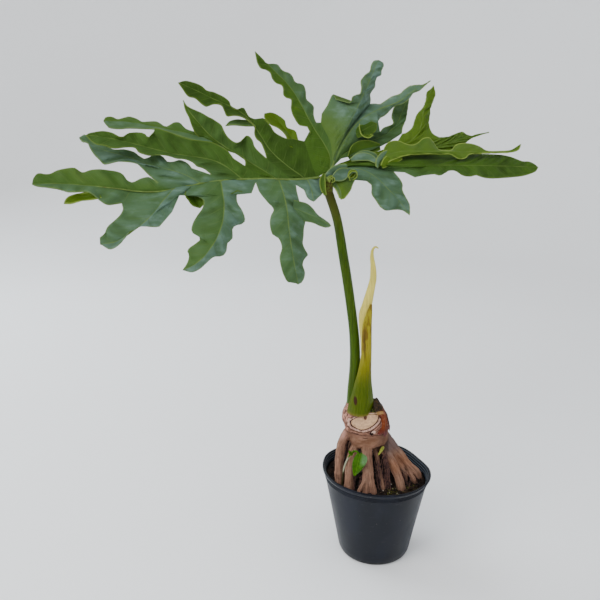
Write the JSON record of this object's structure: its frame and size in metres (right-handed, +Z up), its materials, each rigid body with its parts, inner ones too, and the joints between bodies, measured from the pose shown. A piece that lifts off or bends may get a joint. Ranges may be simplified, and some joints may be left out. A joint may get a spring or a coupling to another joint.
{
  "type": "potted philodendron",
  "caption": "Potted split-leaf philodendron: a deeply lobed leaf on a long stalk, a pale rolled new leaf and a stubby trunk on stilt roots, in a thin black nursery pot.",
  "frame": {"origin": "centre of the pot's flat underside, on the surface that it stands on", "axes": "+Z up along the pot's axis; +X to the right and +Y away from the viewer in the front view, where the leaf reaches to the left"},
  "size_m": [0.4894, 0.2013, 0.5424],
  "materials": {
    "pot_plastic": "satin black",
    "soil": "damp, matt",
    "root_bark": "dull, fibrous",
    "stalk_green": "smooth, half gloss",
    "leaf_green": "waxy, half gloss",
    "sheath_green": "smooth, half gloss",
    "pale_leaf": "smooth, satin",
    "dry_skin": "dry, papery",
    "seedling_green": "smooth, half gloss"
  },
  "bodies": {
    "root": {"nursery_pot": "pot_plastic", "potting_soil": "soil", "trunk_with_roots": "root_bark", "leaf_stalk": "stalk_green", "leaf_blade": "leaf_green", "green_sheath": "sheath_green", "rolled_new_leaf": "pale_leaf", "dry_sheath": "dry_skin", "seedling": "seedling_green", "root_bud": "seedling_green"}
  },
  "joints": []
}
